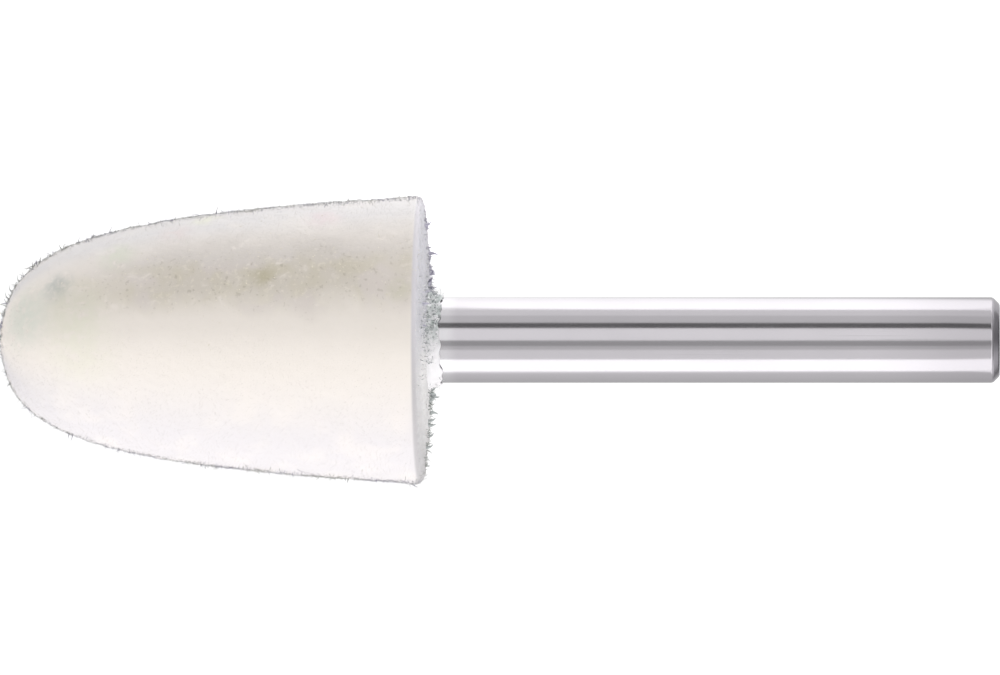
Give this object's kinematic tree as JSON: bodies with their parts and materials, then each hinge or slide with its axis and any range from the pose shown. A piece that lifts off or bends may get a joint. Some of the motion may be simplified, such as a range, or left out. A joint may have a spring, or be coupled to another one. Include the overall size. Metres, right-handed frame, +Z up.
{
  "type": "felt polishing point",
  "caption": "Mounted felt polishing point: a blunt bullet-shaped hard felt head bonded onto a plain round steel shank, lying on its side.",
  "frame": {"origin": "on the surface that the tool lies on, under the middle of its bounding box", "axes": "+X towards the free end of the shank, which lies lower than the head, +Z up; the tool's own axis is in the XZ plane and drops towards +X by about 9.8 degrees"},
  "size_m": [0.0696, 0.02, 0.021],
  "materials": {
    "felt": "off-white hard pressed wool felt, ground to shape, fuzzy, with a faint beige and grey soiling",
    "steel": "bright ground round steel",
    "bond": "cured off-white adhesive, mixed with felt fibres where it is squeezed out"
  },
  "bodies": {
    "root": {"felt_head": "felt", "shank": "steel", "adhesive": "bond"}
  },
  "joints": []
}
